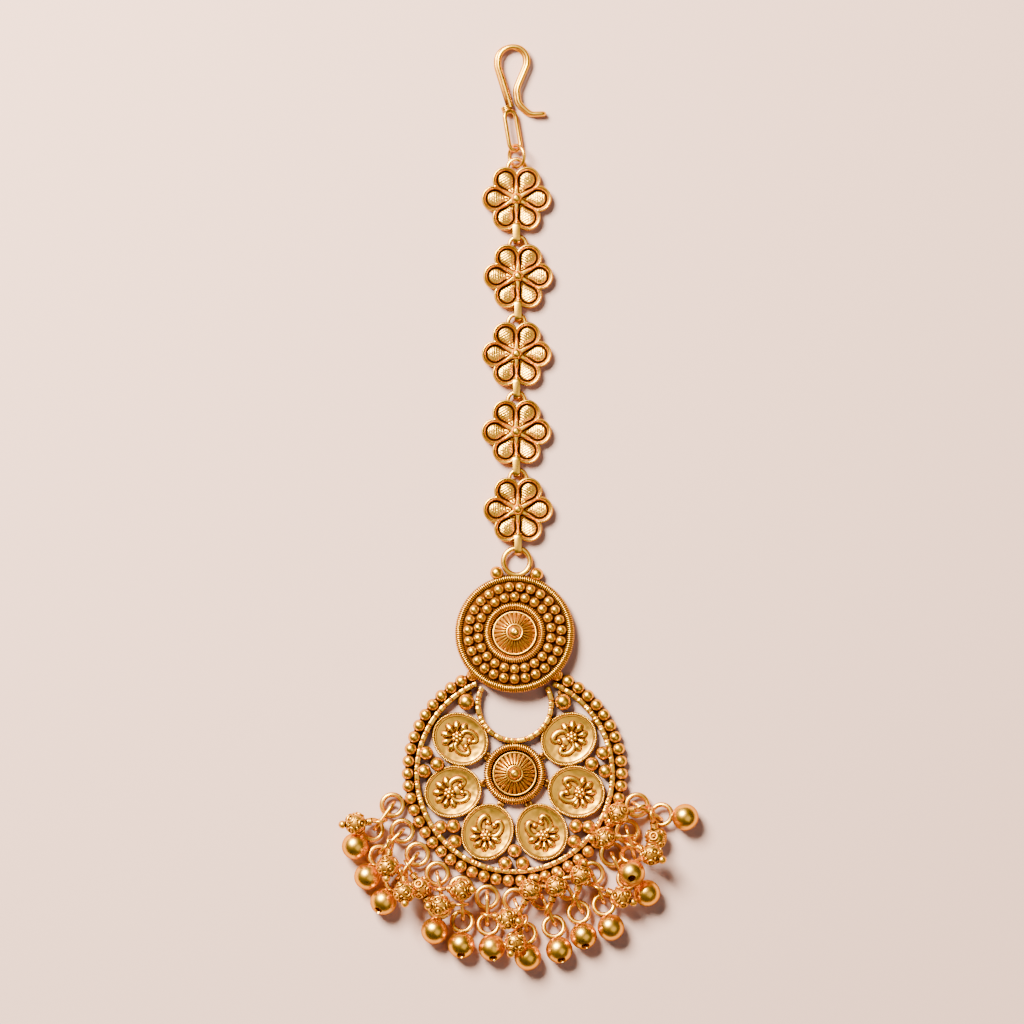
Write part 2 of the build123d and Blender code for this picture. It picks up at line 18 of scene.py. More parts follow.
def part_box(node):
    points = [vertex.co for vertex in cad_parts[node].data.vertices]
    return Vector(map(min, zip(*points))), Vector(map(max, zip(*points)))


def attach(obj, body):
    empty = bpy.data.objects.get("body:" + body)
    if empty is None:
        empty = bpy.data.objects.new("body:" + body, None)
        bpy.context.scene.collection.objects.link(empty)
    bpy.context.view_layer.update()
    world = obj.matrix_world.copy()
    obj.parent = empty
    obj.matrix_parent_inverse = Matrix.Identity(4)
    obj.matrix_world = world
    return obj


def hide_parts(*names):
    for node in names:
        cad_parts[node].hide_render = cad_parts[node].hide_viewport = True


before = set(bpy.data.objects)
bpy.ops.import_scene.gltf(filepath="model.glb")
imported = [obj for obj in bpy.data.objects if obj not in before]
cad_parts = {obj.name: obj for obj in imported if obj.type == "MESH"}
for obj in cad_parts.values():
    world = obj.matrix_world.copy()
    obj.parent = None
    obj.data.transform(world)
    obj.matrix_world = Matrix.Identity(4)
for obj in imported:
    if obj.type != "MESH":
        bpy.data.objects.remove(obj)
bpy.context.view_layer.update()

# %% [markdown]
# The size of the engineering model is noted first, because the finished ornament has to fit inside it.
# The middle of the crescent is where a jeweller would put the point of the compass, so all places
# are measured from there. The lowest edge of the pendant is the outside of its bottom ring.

RING_ORBIT, RING_RADIUS, RING_WIRE = 18.9, 1.575, 0.375
pendant_low, pendant_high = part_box("pendant")
compass_x = (pendant_low.x + pendant_high.x) / 2
compass_y = pendant_low.y + (RING_ORBIT + RING_RADIUS + RING_WIRE) / 1000
TO_ROW = Matrix.Translation((compass_x, compass_y, 0)) @ Matrix.Scale(0.001, 4)
UP = Vector((0, 0, 1))
print("compass point at", round(compass_x * 1000, 2), round(compass_y * 1000, 2), "mm")

# %% [markdown]
# Headings are measured from straight down the ornament, positive to its right. A seat is the little
# frame on which a finished part is soldered or hung: where its middle goes, which way its length
# points, and which way it faces. A lying part points along a heading, rises from the cloth by one
# angle and is rolled about its own length by another.

# %% Headings and seats
def ahead(heading):
    return Vector((sin(radians(heading)), -cos(radians(heading)), 0))


def seat(origin, along, facing):
    along, facing = along.normalized(), facing.normalized()
    stance = Matrix((along, facing.cross(along), facing)).transposed().to_4x4()
    return Matrix.Translation(origin) @ stance


def lying(origin, heading, rise, turn):
    level = ahead(heading)
    forward = level * cos(radians(rise)) + UP * sin(radians(rise))
    facing = UP * cos(radians(rise)) - level * sin(radians(rise))
    return seat(origin, forward, Matrix.Rotation(radians(turn), 3, forward) @ facing)


def at(x, y, z=0.0):
    return Matrix.Translation((x, y, z))


def turned(angle, axis="Z"):
    return Matrix.Rotation(radians(angle), 4, axis)


print("straight down is", ahead(0)[:], "and to the right is", [round(c, 3) for c in ahead(90)])

# %% [markdown]
# Three ways of making cover nearly everything: pressing a sheet of metal to a shape, drawing wire
# along a line, and rolling little balls. The pressed sheet is a grid whose points are moved to where
# the shape wants them, and its seams are closed afterwards.

# %% Sheet, wire and balls
def made(metal):
    shape = bpy.data.meshes.new("shape")
    metal.to_mesh(shape)
    metal.free()
    return shape


def pressed(columns, rows, place, face_up=False):
    """A sheet whose points are placed from two shares, each running from nought to one."""
    metal = bmesh.new()
    bmesh.ops.create_grid(metal, x_segments=columns, y_segments=rows, size=0.5)
    for point in metal.verts:
        point.co = place(point.co.x + 0.5, point.co.y + 0.5)
    bmesh.ops.remove_doubles(metal, verts=metal.verts, dist=1e-4)
    bmesh.ops.dissolve_degenerate(metal, dist=1e-5, edges=metal.edges)
    bmesh.ops.recalc_face_normals(metal, faces=metal.faces)
    if face_up and sum(face.normal.z * face.calc_area() for face in metal.faces) < 0:
        bmesh.ops.reverse_faces(metal, faces=metal.faces)
    return made(metal)


def wire(points, thickness, closed=False, taper=None):
    """Round wire along a run of points; a taper tells how thick it is from the start to the end."""
    line = bpy.data.curves.new("wire", "CURVE")
    line.dimensions = "3D"
    line.bevel_depth = thickness
    line.bevel_resolution = 4
    line.use_fill_caps = not closed
    run = line.splines.new("POLY")
    run.points.add(len(points) - 1)
    for knot, place in zip(run.points, points):
        knot.co = (*place, 1)
    if taper:
        for step, knot in enumerate(run.points):
            knot.radius = taper(step / (len(points) - 1))
    run.use_cyclic_u = closed
    holder = bpy.data.objects.new("wire", line)
    shape = bpy.data.meshes.new_from_object(holder)
    bpy.data.objects.remove(holder)
    bpy.data.curves.remove(line)
    return shape


def ball(radius, steps=22, pit=0.0):
    """A solid ball, with a shallow pit in its top where a pit is asked for."""
    metal = bmesh.new()
    bmesh.ops.create_uvsphere(metal, u_segments=steps, v_segments=steps * 2 // 3, radius=radius)
    for point in metal.verts:
        if pit and point.co.z > 0:
            point.co.z -= pit * exp(-(hypot(point.co.x, point.co.y) / pit) ** 2)
    return made(metal)


def ring(radius, thickness, steps=44, sides=12):
    metal = bmesh.new()
    stand = at(radius, 0) @ turned(90, "X")
    bmesh.ops.create_circle(metal, radius=thickness, segments=sides, matrix=stand)
    bmesh.ops.spin(metal, geom=metal.verts[:] + metal.edges[:], cent=(0, 0, 0), axis=(0, 0, 1),
                   angle=2 * pi, steps=steps, use_merge=True)
    bmesh.ops.recalc_face_normals(metal, faces=metal.faces)
    return made(metal)


def plate(radius, low, high, steps=64, cut=0.08):
    """A round plate between two heights, with its rims eased."""
    metal = bmesh.new()
    middle = at(0, 0, (low + high) / 2)
    bmesh.ops.create_cone(metal, cap_ends=True, segments=steps, radius1=radius, radius2=radius,
                          depth=high - low, matrix=middle)
    rims = [edge for edge in metal.edges if edge.calc_face_angle() > 1]
    bmesh.ops.bevel(metal, geom=rims, offset=cut, segments=2, profile=0.5, affect="EDGES", material=-1)
    return made(metal)


def gathered(parts):
    """Many parts, each in its own place, as one."""
    whole = bmesh.new()
    for shape, place in parts:
        copy = shape.copy()
        copy.transform(place)
        if place.determinant() < 0:
            copy.flip_normals()
        whole.from_mesh(copy)
        bpy.data.meshes.remove(copy)
    return made(whole)


granule = ball(1.0, steps=20)
print("one granule has", len(granule.polygons), "faces")

# %% [markdown]
# Twisted and coiled wire is everywhere on this kind of work. A coil is a fine wire wound round a
# core that is then bent into a ring, and each turn shows as a rounded ridge with a sharp valley on
# either side. The slant says how far a turn creeps along while it goes once round. Hundreds of real
# turns could be drawn, but one sheet with the ridges raised on it is closed, lighter and looks alike.

# %% Coiled wire
def ridge(phase):
    """One rounded ridge for every whole step, with sharp valleys between."""
    return sqrt(max(0.0, 1 - (2 * (phase % 1.0) - 1) ** 2))


def coil(long, wide, thickness, turns, depth, slant=1.0, fine=5, sides=12):
    """A wound ring; fine is how many columns of the sheet make one turn."""
    def place(u, v):
        reach = thickness - depth * (1 - ridge(turns * u + slant * v))
        way = Vector((wide * cos(2 * pi * u), long * sin(2 * pi * u), 0)).normalized()
        core = Vector((long * cos(2 * pi * u), wide * sin(2 * pi * u), 0))
        return core + way * reach * cos(2 * pi * v) + UP * reach * sin(2 * pi * v)
    return pressed(turns * fine, sides, place)


print("a ridge stands at", ridge(0.5), "and its valley at", ridge(1.0))

# %% [markdown]
# ## Hook
# Two round wires are folded from one length, so the tip is a smooth bend. They run up from a wrapped
# collar, over the top and back down, and the short tail is what slides into the hair. Rounding the
# corners of a few straight runs gives the bends a pair of pliers would. A free curve would be quicker
# to draw, but its bends would have no radius to choose. The eye below the collar is a long loop that
# stands almost on its edge.

# %% Hook
HOOK_WIRE = 0.38
HOOK_COLLAR = Vector((-1.1, 99.75, 1.22))
HOOK_BACK = Vector((-0.35, 0, -0.83))
HOOK_ROUTE = ((0.59, 0.48), (-1.3, 6.6), (-1.3, 9.6), (3.15, 9.6), (3.05, 6.9),
              (1.5, 3.2), (1.75, 1.0), (3.5, -0.6), (5.07, -0.55))
HOOK_BENDS = (3.0, 2.15, 2.1, 2.1, 2.5, 2.2, 1.4)
EYE_START, EYE_HEADING, EYE_ROLL = Vector((-0.65, 98.65, 1.4)), 9.5, 62
EYE_HALF, EYE_BEND, EYE_WIRE = 2.05, 0.95, 0.33


def bent(route, bends, steps=14):
    """A level route with every corner rounded by its own bend."""
    points = [Vector((*route[0], 0))]
    for before, corner, after, bend in zip(route, route[1:], route[2:], bends):
        corner = Vector((*corner, 0))
        back = (Vector((*before, 0)) - corner).normalized()
        on = (Vector((*after, 0)) - corner).normalized()
        half = back.angle(on) / 2
        centre = corner + (back + on).normalized() * bend / sin(half)
        arm = corner + back * bend / tan(half) - centre
        axis = on.cross(back).normalized()
        for step in range(steps + 1):
            swing = (pi - 2 * half) * step / steps
            points.append(centre + Matrix.Rotation(swing, 3, axis) @ arm)
    return points + [Vector((*route[-1], 0))]


def oval(half, bend, steps=12):
    """Two straight runs joined by two half circles."""
    right = [Vector((half + bend * sin(pi * k / steps), 0, bend * cos(pi * k / steps)))
             for k in range(steps + 1)]
    return right + [Vector((-point.x, 0, -point.z)) for point in right]


def winding(radius, low, high, steps, in_a_turn=16):
    """Points of a fine wire wound round an upright core."""
    return [Vector((radius * cos(2 * pi * k / in_a_turn), radius * sin(2 * pi * k / in_a_turn),
                    low + (high - low) * k / steps)) for k in range(steps + 1)]


front = [HOOK_COLLAR + point for point in bent(HOOK_ROUTE, HOOK_BENDS)]
tail = (front[-1] - front[-2]).normalized()
across = HOOK_BACK - tail * HOOK_BACK.dot(tail)
fold = [front[-1] + across / 2 + Matrix.Rotation(pi * k / 10, 3, tail.cross(across)) @ (-across / 2)
        for k in range(1, 10)]
back = [point + HOOK_BACK for point in front]
collar = HOOK_COLLAR + HOOK_BACK / 2 + Vector((0.1, 0.1, 0))
collar_seat = seat(collar, Vector((1, 0.35, 0)), Vector((-0.35, 1, 0)))
eye_seat = lying(EYE_START + ahead(EYE_HEADING) * EYE_HALF, EYE_HEADING, 0, EYE_ROLL)
hook = gathered([
    (wire([*front, *fold, *reversed(back)], HOOK_WIRE), Matrix()),
    (wire(winding(0.62, -0.52, 0.52, 64), 0.16), collar_seat),
    (plate(0.6, -0.6, 0.6, 24, 0.2), collar_seat),
    (wire(oval(EYE_HALF, EYE_BEND), EYE_WIRE, closed=True), eye_seat),
])
hook_ring = gathered([(ring(1.6, 0.27), lying(Vector((0.3, 92.8, 1.42)), 10, 0, 46))])
print("hook drawn through", len(front), "points")

# %% [markdown]
# ## Flower
# Each flower is cast in one piece: six scooped petals whose thick smooth rims meet in ridges that run
# in to a ball at the middle. In every scoop stands a teardrop panel, chased in cross rows like tiny
# brickwork, with a dark valley round it. The scoops are deepest toward the middle, and the panels
# sink with them. Six petals could be made and merged, but their rims flow into each other. So the
# whole front is one pressed sheet, and its height is worked out from how far a point is from the
# outline and how far inside the scoop and the panel it lies.

# %% Flower
PETAL_REACH, PETAL_ROUND = 3.25, 2.0
FLOWER_FACE, FLOWER_UNDER = 1.7, 0.2
RIM_BROAD, RIM_DROP = 0.34, 0.22
SCOOP_TIP, SCOOP_TIP_ROUND, SCOOP_ROUND = 1.05, 0.16, 1.72
SCOOP_DEEP, SCOOP_DEEP_AT, SCOOP_FALL = 0.6, 3.8, 0.17
PANEL_TIP, PANEL_TIP_ROUND, PANEL_ROUND = 1.15, 0.14, 1.24
VALLEY_DEEP, VALLEY_BROAD = 0.34, 0.11
BRICK_ROW, BRICK_DEEP = 0.36, 0.13
FRONT_SHARE = 0.88


def eased(low, high, value):
    """Rises smoothly from nought to one between two values."""
    part = min(1.0, max(0.0, (value - low) / (high - low)))
    return part * part * (3 - 2 * part)


def drop_depth(x, y, tip, tip_round, lobe_round):
    """How far a point is inside a teardrop that widens from the tip to the petal's round end."""
    span = PETAL_REACH - tip
    lean = (tip_round - lobe_round) / span
    straight = sqrt(1 - lean * lean)
    along, aside = x - tip, abs(y)
    run = straight * along - lean * aside
    if run < 0:
        return tip_round - hypot(along, aside)
    if run > straight * span:
        return lobe_round - hypot(along - span, aside)
    return tip_round - straight * aside - lean * along


def petal_edge(angle):
    """Distance from the flower's middle to its outline, for an angle from the petal's own line."""
    aside = PETAL_REACH * sin(angle)
    return PETAL_REACH * cos(angle) + sqrt(max(0.0, PETAL_ROUND ** 2 - aside ** 2))


def brickwork(x, y):
    """Cross rows of little bricks that are broader toward the petal's end."""
    row = x / BRICK_ROW
    brick = y / (0.16 + 0.08 * x) + 0.5 * (floor(row) % 2)
    return 0.75 * ridge(row) + 0.25 * ridge(brick)


def petal_height(reach, angle):
    x, y = reach * cos(angle), reach * sin(angle)
    rim = max(0.0, PETAL_ROUND - hypot(max(x - PETAL_REACH, 0.0), y))
    height = FLOWER_FACE - RIM_DROP * (1 - sqrt(1 - (1 - min(rim / RIM_BROAD, 1.0)) ** 2))
    height -= 0.05 * exp(-((rim - 0.3) / 0.05) ** 2)
    scoop = drop_depth(x, y, SCOOP_TIP, SCOOP_TIP_ROUND, SCOOP_ROUND)
    height -= (SCOOP_DEEP - SCOOP_FALL * (x - SCOOP_DEEP_AT)) * eased(-0.1, 0.5, scoop)
    panel = drop_depth(x, y, PANEL_TIP, PANEL_TIP_ROUND, PANEL_ROUND)
    height -= VALLEY_DEEP * exp(-((panel + 0.02) / VALLEY_BROAD) ** 2)
    roof = 0.06 * eased(0.0, 0.2, panel) + 0.3 * min(max(panel, 0.0), 0.7)
    return height + roof + BRICK_DEEP * eased(0.02, 0.14, panel) * (brickwork(x, y) - 1)


def flower_front(u, v):
    """The front out to the outline, and the last share of the sheet down the side."""
    angle = 2 * pi * u
    petal = (degrees(angle) + 30) % 60 - 30
    edge = petal_edge(radians(petal))
    if v < FRONT_SHARE:
        reach = edge * (v / FRONT_SHARE) ** 0.9
        return Vector((reach * cos(angle), reach * sin(angle), petal_height(reach, radians(petal))))
    down = (v - FRONT_SHARE) / (1 - FRONT_SHARE)
    lowest = petal_height(edge, radians(petal))
    bulge = edge - 0.35 * eased(0.5, 1.0, down)
    return Vector((bulge * cos(angle), bulge * sin(angle), lowest + (FLOWER_UNDER - lowest) * down))


def rounded_loop(long, high, bend, steps=6):
    corners = ((1, 1, 0), (-1, 1, 90), (-1, -1, 180), (1, -1, 270))
    return [(way_x * (long / 2 - bend) + bend * cos(radians(start + 90 * k / steps)),
             way_y * (high / 2 - bend) + bend * sin(radians(start + 90 * k / steps)))
            for way_x, way_y, start in corners for k in range(steps + 1)]


def strap(width, thickness, start, end, high, bend):
    """A flat strip bent round into a closed loop that stands on its edge across the ornament."""
    loop = rounded_loop(end - start, high, bend)

    def place(u, v):
        run, lift = loop[round(v * len(loop)) % len(loop)]
        hollow = 1 - 0.07 * (2 * u - 1) ** 2
        return Vector((width * (u - 0.5), run * hollow - (start + end) / 2, lift * hollow + high / 2))

    metal = bmesh.new()
    metal.from_mesh(pressed(6, len(loop), place))
    bmesh.ops.solidify(metal, geom=metal.faces[:], thickness=thickness)
    bmesh.ops.recalc_face_normals(metal, faces=metal.faces)
    return made(metal)


def trimmed(shape, low):
    """Cuts off the part below a line, which would run on inside other metal."""
    metal = bmesh.new()
    metal.from_mesh(shape)
    everything = metal.verts[:] + metal.edges[:] + metal.faces[:]
    bmesh.ops.bisect_plane(metal, geom=everything, plane_co=(0, low, 0), plane_no=(0, -1, 0),
                           clear_outer=True)
    return made(metal)


flower = gathered([
    (pressed(252, 76, flower_front, face_up=True), Matrix()),
    (plate(2.1, FLOWER_UNDER, 0.3, 36), Matrix()),
    (ball(0.78, 26, pit=0.07), at(0, 0, FLOWER_FACE - 0.05)),
    (trimmed(ring(1.3, 0.33), 0.1), at(0, 4.65, 1.1)),
    (strap(1.05, 0.28, 3.4, 6.85, 1.88, 0.85), Matrix()),
])
FLOWER_PLACES = ((0.27, 86.4), (0.5, 74.7), (0.29, 63.0), (0.25, 51.3), (0.5, 39.6))
print("one flower has", len(flower.polygons), "faces")

# %% [markdown]
# ## Domed boss
# The rosette in the middle of the crescent and the middle of the medallion are the same thing: a
# dome chased with narrow rays, edged with twisted wire, set inside a thick coil, with a dark valley
# between the two. A ball on a little collar closes the centre. Spinning a profile would give the dome
# without its rays, so the dome is pressed too.

# %% Domed boss
DOME_ROUND, DOME_REACH, DOME_CROWN, DOME_FOOT = 3.25, 3.15, 4.6, 0.75
RAYS, RAY_DEPTH = 26, 0.3
TWIST_ORBIT, TWIST_WIRE, TWIST_TURNS = 3.19, 0.18, 84
COIL_ORBIT, COIL_WIRE, COIL_TURNS = 4.11, 0.6, 82


def dome_front(u, v):
    """A dome whose rays fade out under the collar and at the foot."""
    reach = DOME_REACH * v
    height = DOME_FOOT + sqrt(DOME_CROWN ** 2 - reach ** 2) - sqrt(DOME_CROWN ** 2 - DOME_ROUND ** 2)
    window = eased(0.3, 0.42, v) * (1 - eased(0.93, 0.99, v))
    height -= RAY_DEPTH * window * (1 - ridge(RAYS * u) ** 2)
    return Vector((reach * cos(2 * pi * u), reach * sin(2 * pi * u), height))


boss = gathered([
    (pressed(RAYS * 6, 20, dome_front, face_up=True), Matrix()),
    (coil(TWIST_ORBIT, TWIST_ORBIT, TWIST_WIRE, TWIST_TURNS, 0.07, slant=2.0), at(0, 0, 0.86)),
    (coil(COIL_ORBIT, COIL_ORBIT, COIL_WIRE, COIL_TURNS, 0.42), at(0, 0, 1.02)),
    (ring(1.16, 0.17), at(0, 0, 1.98)),
    (ball(0.94, 28, pit=0.13), at(0, 0, 2.1)),
])
rosette = gathered([(boss, Matrix()), (plate(4.06, 0.0, 0.55), Matrix())])
print("the rosette has", len(rosette.polygons), "faces")

# %% [markdown]
# ## Medallion
# The medallion above the crescent is a round plate with a coiled rim. Two rings of granules fill
# the space between the rim and the boss. They could be bumps in the plate, but round balls leave the
# dark gaps between them that granulation is known for. The medallion's lower edge stands on the
# crescent, so it tips back a little towards the flowers.

# %% Medallion
OUTER_RING, INNER_RING = (27, 6.98), (22, 5.49)
RIM_ORBIT, RIM_WIRE, RIM_TURNS = 8.36, 0.63, 168
seeds = [(granule, at(*(ahead(360 * k / count) * orbit)[:2], 1.1)
          @ turned(41 * k) @ Matrix.Scale(0.78, 4))
         for count, orbit in (OUTER_RING, INNER_RING) for k in range(count)]
medallion = gathered([
    (boss, Matrix()),
    (coil(RIM_ORBIT, RIM_ORBIT, RIM_WIRE, RIM_TURNS, 0.36, sides=10), at(0, 0, 0.68)),
    (plate(8.33, 0.0, 0.78), Matrix()),
    *seeds,
])
medallion_seat = at(0, 20.91, 1.1) @ turned(-7, "X")
print("the medallion has", len(medallion.polygons), "faces")

# %% [markdown]
# ## Stamped disc
# Six oval discs surround the rosette. Each is stamped from behind with a fan of petals on its outer
# half and a pair of scrolls on its inner half that curl together like a heart, with a knot of tiny
# balls between them. A milled edge and a thin wire frame the shallow dish. The relief is laid in as
# low beads and bent wires, which keep their rounded shapes where a pressed grid would blur them.

# %% Stamped disc
DISC_LONG, DISC_WIDE = 4.4, 3.95
DISH = 0.78


def dish_front(u, v):
    x, y = (DISC_LONG - 0.4) * v * cos(2 * pi * u), (DISC_WIDE - 0.4) * v * sin(2 * pi * u)
    dent = 0.05 * noise.noise(Vector((x * 1.3, y * 1.3, 4.0)))
    return Vector((x, y, DISH + 0.3 * v ** 4 + dent))


def petal_bead(length, width, height):
    """A low bead that is blunt and broad at one end."""
    metal = bmesh.new()
    bmesh.ops.create_uvsphere(metal, u_segments=18, v_segments=12, radius=1)
    for point in metal.verts:
        broad = (0.72 + 0.28 * point.co.x) * width / 2
        blunt = abs(point.co.x) ** 1.8 * (1 if point.co.x > 0 else -1)
        point.co = Vector((blunt * length / 2, point.co.y * broad, point.co.z * height))
    return made(metal)


def heart_line(side, steps=30):
    """Springs from the knot, swings out and curls back in."""
    line = []
    for k in range(steps + 1):
        sweep = radians(-35 + 285 * k / steps)
        spread = 1 - 0.45 * (k / steps) ** 2
        aside = 0.95 + 0.85 * spread * sin(sweep)
        line.append(Vector((-1.1 + 1.3 * spread * cos(sweep), side * aside, 0)))
    return line


flattened = Matrix.Diagonal((1, 1, 0.8, 1))
KNOT, KNOT_ROUND = 0.55, 0.55
FAN = (-92, -55, -18, 18, 55, 92)
petal = petal_bead(1.75, 1.35, 0.42)
petals = [(petal, at(KNOT, 0, DISH + 0.1) @ turned(fan) @ at(1.65, 0)) for fan in FAN]
knot_places = [(KNOT + KNOT_ROUND * cos(k * pi / 3), KNOT_ROUND * sin(k * pi / 3)) for k in range(6)]
knot = [(granule, at(*place, DISH + 0.24) @ Matrix.Scale(0.36, 4)) for place in knot_places]
scrolls = [(wire(heart_line(side), 0.36, taper=lambda part: 0.7 + 0.4 * sin(pi * part)),
            at(0, 0, DISH + 0.12) @ flattened) for side in (1, -1)]
curls = [(granule, at(*heart_line(side)[-1][:2], DISH + 0.12) @ Matrix.Scale(0.45, 4))
         for side in (1, -1)]
disc = gathered([
    (pressed(96, 22, dish_front, face_up=True), Matrix()),
    (coil(DISC_LONG - 0.24, DISC_WIDE - 0.24, 0.24, 98, 0.15, fine=4, sides=8), at(0, 0, 0.96)),
    (coil(DISC_LONG - 0.55, DISC_WIDE - 0.55, 0.1, 90, 0.05, slant=0.5, fine=3, sides=6),
     at(0, 0, 1.05)),
    (plate(1, 0.0, 0.7, 72, 0.01), Matrix.Diagonal((DISC_LONG - 0.12, DISC_WIDE - 0.12, 1, 1))),
    (granule, at(KNOT, 0, DISH + 0.3) @ Matrix.Scale(0.5, 4)),
    (ball(1, 18), at(-0.75, 0, DISH) @ Matrix.Diagonal((0.75, 0.7, 0.2, 1))),
    *petals, *knot, *scrolls, *curls,
])
DISC_HEADINGS, DISC_ORBIT = (25.0, 73.7, 122.5), 9.63
discs = gathered([(disc, seat(ahead(side * heading) * DISC_ORBIT + UP * 0.1, ahead(side * heading), UP))
                  for heading in DISC_HEADINGS for side in (1, -1)])
print("one disc has", len(disc.polygons), "faces")

# %% [markdown]
# ## Crescent
# A flat strip set on its edge and bent to a horseshoe holds everything in, and a shorter one borders
# the hollow under the medallion. The chisel has nicked their bright tops at uneven steps. Outside
# the strip runs a ledge, and on the ledge sits a row of granules. Other balls fill the gaps between
# the discs, close the tips of the crescent, join it to the medallion and stand beside the ring on
# the medallion's top. The strips are pressed rather than drawn as wire, so that a formula can place
# every nick.

# %% Crescent
HORN, STRIP_ORBIT, LEDGE_ORBIT, LEDGE_WIDTH, LEDGE_HEIGHT = 156.7, 14.64, 15.7, 1.5, 0.6
HOLLOW_HORN, HOLLOW_ORBIT, HOLLOW_MIDDLE = 117, 5.5, 10.43
STRIP_WIDTH, STRIP_HEIGHT = 0.84, 1.7
ROW_PITCH, ROW_ORBIT = 6.67, 16.0


def bar(u, v, radius, width, height, horn, middle, nicked):
    """A strip with nearly square edges, bent round from one horn to the other."""
    heading = horn * (2 * u - 1)
    edge = 2 * pi * v
    aside = width / 2 * abs(cos(edge)) ** 0.35 * (1 if cos(edge) > 0 else -1)
    lift = height / 2 * (1 + abs(sin(edge)) ** 0.35 * (1 if sin(edge) > 0 else -1))
    run = radians(heading) * radius
    step = run / 1.25 + 0.45 * noise.noise(Vector((run * 0.55, middle, 3.0)))
    if nicked and lift > height * 0.55:
        nick = exp(-(((step % 1.0) - 0.5) / 0.085) ** 2)
        second = exp(-(((step * 1.37) % 1.0 - 0.3) / 0.07) ** 2)
        facet = noise.noise(Vector((floor(step + 0.5) * 3.7, middle, 1.0)))
        lift -= 0.06 + 0.2 * nick + 0.1 * second * (facet > 0) + 0.05 * facet * (aside / width)
        aside *= 1 - 0.1 * nick + 0.08 * facet
    return ahead(heading) * (radius + aside) + Vector((0, middle, lift))


def strip(radius, width, height, horn, middle=0.0, nicked=True, columns=720):
    """The same with its two ends closed."""
    def place(u, v):
        return bar(u, v, radius, width, height, horn, middle, nicked)

    metal = bmesh.new()
    metal.from_mesh(pressed(columns, 20, place))
    bmesh.ops.holes_fill(metal, edges=metal.edges[:])
    return made(metal)


FILLERS_RIGHT = ((9.18, -7.87), (11.1, -8.0), (8.95, -10.15), (11.6, 1.45), (13.26, 3.07), (13.6, 0.37))
FILLERS_BOTTOM = ((0.0, -11.58), (-1.4, -13.45), (1.2, -13.45))


def both_sides(places):
    return [*places, *((-x, y) for x, y in places)]


crescent = gathered([
    (strip(LEDGE_ORBIT, LEDGE_WIDTH, LEDGE_HEIGHT, HORN, nicked=False, columns=240), Matrix()),
    (strip(STRIP_ORBIT, STRIP_WIDTH, STRIP_HEIGHT, HORN), Matrix()),
    (strip(HOLLOW_ORBIT, STRIP_WIDTH, STRIP_HEIGHT, HOLLOW_HORN, middle=HOLLOW_MIDDLE, columns=260),
     Matrix()),
])
row = [(granule, at(*(ahead(side * ROW_PITCH * (k + 0.5)) * ROW_ORBIT)[:2], 1.05)
        @ turned(67 * k, "X") @ Matrix.Scale(0.94, 4)) for k in range(24) for side in (1, -1)]
fillers = [(granule, at(*place, 1.1) @ turned(50 * place[0], "Y") @ Matrix.Scale(1.08, 4))
           for place in (*both_sides(FILLERS_RIGHT), *FILLERS_BOTTOM)]
horns = [(ball(1.25, 26), at(*place, 1.25)) for place in both_sides([(7.25, 10.75)])]
joining = [(ball(0.7, 16), at(*place, 1.6)) for place in both_sides([(6.2, 14.9)])]
shoulders = [(ball(1.0, 24), at(*place, 1.0)) for place in ((-2.69, 30.1), (3.29, 29.9))]
all_balls = [*row, *fillers, *horns, *joining, *shoulders]
balls = gathered(all_balls)
print("the pendant carries", len(all_balls), "balls")

# %% [markdown]
# Thirteen rings of round wire are soldered along the outer edge to carry the drops. Each stands off
# the ledge on a small three-cornered plate, and the joint is dressed with a few seed granules. A ring
# is a small circle spun once round, which leaves no seam.
# Dabs of solder tie the discs, the rosette and the strips together underneath. A larger ring on top
# of the medallion takes the strap of the last flower.

# %% Edge rings
RINGS = range(-6, 7)
RING_PITCH, RING_LEVEL = 12.6, 1.05


def wedge():
    """The small three-cornered plate that a ring stands off on."""
    metal = bmesh.new()
    bmesh.ops.create_cone(metal, cap_ends=True, segments=3, radius1=0.8, radius2=0.8, depth=0.75)
    bmesh.ops.bevel(metal, geom=metal.edges[:], offset=0.08, segments=2, profile=0.5,
                    affect="EDGES", material=-1)
    return made(metal)


edge_ring = ring(RING_RADIUS, RING_WIRE)
seed = ball(1.0, 10)
JOINT_SEEDS = ((-0.75, 0.0, 0.3), (-0.45, 0.42, 0.2), (-0.45, -0.42, 0.2), (-0.1, 0.15, 0.18))
edge = []
for number in RINGS:
    heading = ahead(number * RING_PITCH)
    edge.append((edge_ring, at(*(heading * RING_ORBIT)[:2], RING_LEVEL)))
    tab = seat(heading * (RING_ORBIT - RING_RADIUS - 0.3), heading, UP)
    edge.append((wedge(), tab @ at(-0.2, 0, 0.42)))
    edge += [(seed, tab @ at(x, y, 0.78) @ Matrix.Scale(size, 4)) for x, y, size in JOINT_SEEDS]
top_ring = (ring(2.0, 0.41, 56), at(0.3, 31.8, 1.0))
SOLDER_PLACES = ((25.0, 4.95), (73.7, 4.95), (122.5, 4.95), (49.4, 8.75), (98.1, 8.75), (25.0, 14.1),
                 (73.7, 14.1), (122.5, 14.1), (150.0, 14.0))
solder = [(plate(0.6, 0.0, 0.9, 14, 0.18), at(*(ahead(side * heading) * orbit)[:2]))
          for heading, orbit in SOLDER_PLACES for side in (1, -1)]
edge_rings = gathered(edge)
solder_and_loop = gathered([top_ring, *solder])
print(len(RINGS), "edge rings stand", RING_PITCH, "degrees apart")

